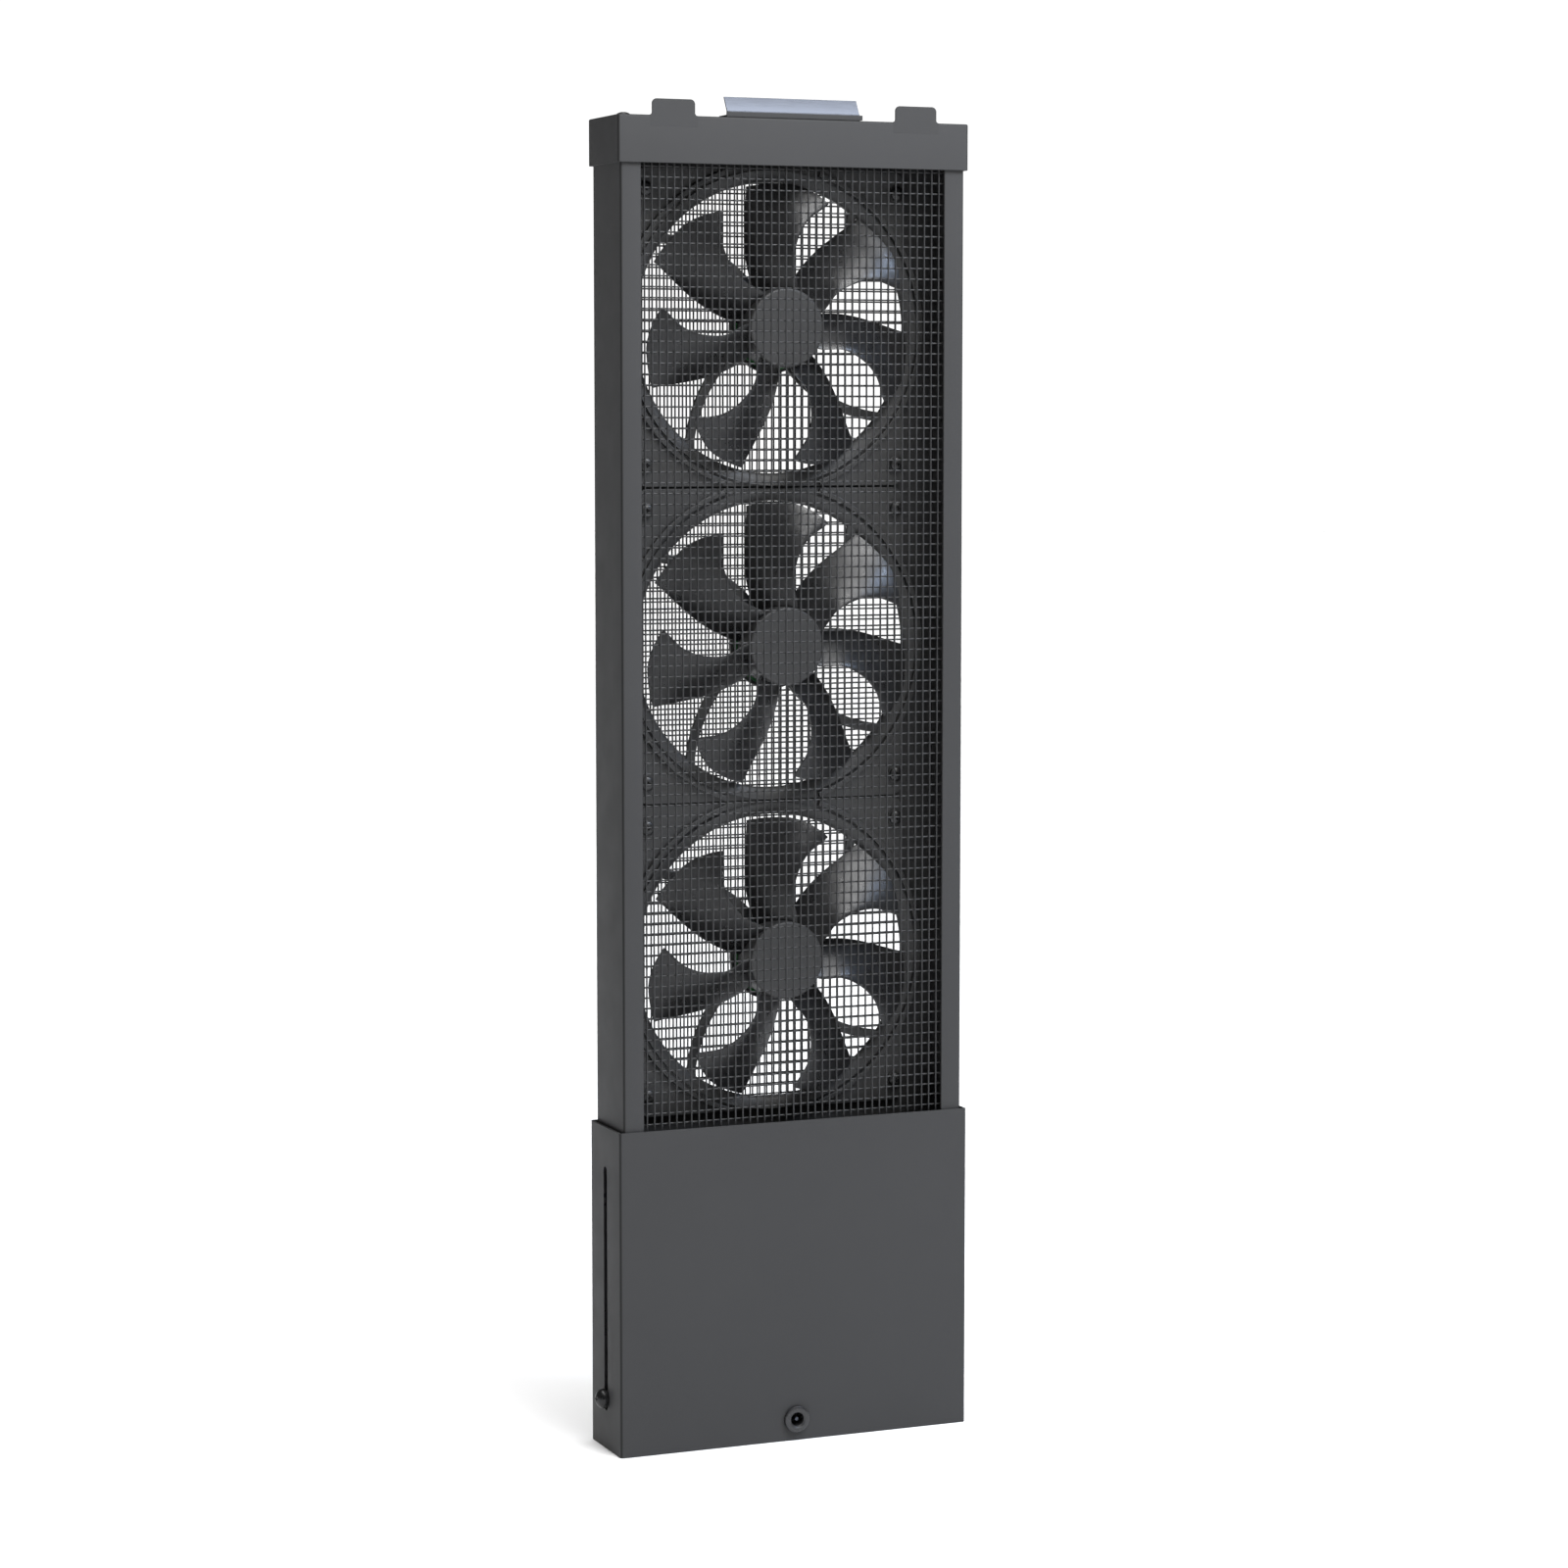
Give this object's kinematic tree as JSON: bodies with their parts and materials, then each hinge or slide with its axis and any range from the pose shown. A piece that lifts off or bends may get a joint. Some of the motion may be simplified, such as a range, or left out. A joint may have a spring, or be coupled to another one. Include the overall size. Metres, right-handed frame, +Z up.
{
  "type": "extendable exhaust fan",
  "caption": "Tall narrow window exhaust fan: axial fans stacked in a guarded sheet-metal frame that slides up out of a lower sleeve and is clamped at its sides.",
  "frame": {"origin": "middle of the sleeve's foot, on the sill, with the fan frame slid down", "axes": "+X to the right seen from the front, +Y to the back (the air's way out), +Z up"},
  "size_m": [0.1832, 0.0409, 0.6154],
  "materials": {
    "powder_coat": "satin dark grey powder coat",
    "guard": "satin near-black coat",
    "fan_plastic": "matte black moulding",
    "silver": "bright spring steel",
    "black_screw": "black oxide",
    "steel": "zinc plated",
    "bronze": "sintered bronze",
    "copper": "enamelled copper winding on an iron core",
    "magnet": "ferrite",
    "board": "green circuit board",
    "socket": "black moulding"
  },
  "bodies": {
    "sleeve": {"sleeve_shell": "powder_coat", "sleeve_foot": "powder_coat", "socket_body": "socket", "socket_pin": "silver", "socket_nut": "steel"},
    "fan_frame": {"left_side_channel": "powder_coat", "right_side_channel": "powder_coat", "bottom_member": "powder_coat", "top_member": "powder_coat", "fan_plate": "powder_coat", "top_cap": "powder_coat", "strip_rail": "powder_coat", "front_guard_crosswires": "guard", "front_guard_uprights": "guard", "rear_guard_crosswires": "guard", "rear_guard_uprights": "guard", "left_cap_screw": "black_screw", "right_cap_screw": "black_screw", "left_rail_rivet": "steel", "right_rail_rivet": "steel", "left_rivet_nut": "steel", "right_rivet_nut": "steel", "bottom_fan_housing": "fan_plastic", "bottom_fan_bearing": "bronze", "bottom_fan_stator": "copper", "bottom_fan_motor_board": "board", "bottom_fan_screw_1": "steel", "bottom_fan_screw_2": "steel", "bottom_fan_screw_3": "steel", "bottom_fan_screw_4": "steel", "middle_fan_housing": "fan_plastic", "middle_fan_bearing": "bronze", "middle_fan_stator": "copper", "middle_fan_motor_board": "board", "middle_fan_screw_1": "steel", "middle_fan_screw_2": "steel", "middle_fan_screw_3": "steel", "middle_fan_screw_4": "steel", "top_fan_housing": "fan_plastic", "top_fan_bearing": "bronze", "top_fan_stator": "copper", "top_fan_motor_board": "board", "top_fan_screw_1": "steel", "top_fan_screw_2": "steel", "top_fan_screw_3": "steel", "top_fan_screw_4": "steel"},
    "bottom_fan_rotor": {"bottom_fan_impeller": "fan_plastic", "bottom_fan_rotor_magnet": "magnet", "bottom_fan_shaft": "steel"},
    "middle_fan_rotor": {"middle_fan_impeller": "fan_plastic", "middle_fan_rotor_magnet": "magnet", "middle_fan_shaft": "steel"},
    "top_fan_rotor": {"top_fan_impeller": "fan_plastic", "top_fan_rotor_magnet": "magnet", "top_fan_shaft": "steel"},
    "left_clamp": {"left_clamp_screw": "black_screw"},
    "right_clamp": {"right_clamp_screw": "black_screw"},
    "strip": {"spring_strip": "silver"}
  },
  "joints": [
    {"name": "frame_slide", "type": "slide", "parent": "sleeve", "child": "fan_frame", "axis": [0, 0, 1], "range_m": [-0.0033, 0.1055]},
    {"name": "bottom_fan_spin", "type": "hinge", "parent": "fan_frame", "child": "bottom_fan_rotor", "pos_m": [0, -0.0118, 0.223], "axis": [0, 1, 0], "continuous": true},
    {"name": "middle_fan_spin", "type": "hinge", "parent": "fan_frame", "child": "middle_fan_rotor", "pos_m": [0, -0.0118, 0.368], "axis": [0, 1, 0], "continuous": true},
    {"name": "top_fan_spin", "type": "hinge", "parent": "fan_frame", "child": "top_fan_rotor", "pos_m": [0, -0.0118, 0.513], "axis": [0, 1, 0], "continuous": true},
    {"name": "left_clamp_turn", "type": "hinge", "parent": "fan_frame", "child": "left_clamp", "pos_m": [-0.0868, 0, 0.0237], "axis": [-1, 0, 0], "range_deg": [0, 360]},
    {"name": "right_clamp_turn", "type": "hinge", "parent": "fan_frame", "child": "right_clamp", "pos_m": [0.0868, 0, 0.0237], "axis": [1, 0, 0], "range_deg": [0, 360]},
    {"name": "strip_press", "type": "hinge", "parent": "fan_frame", "child": "strip", "pos_m": [0, -0.0162, 0.6082], "axis": [-1, 0, 0], "range_deg": [0, 30], "stiffness_Nm_per_rad": 0.08}
  ]
}
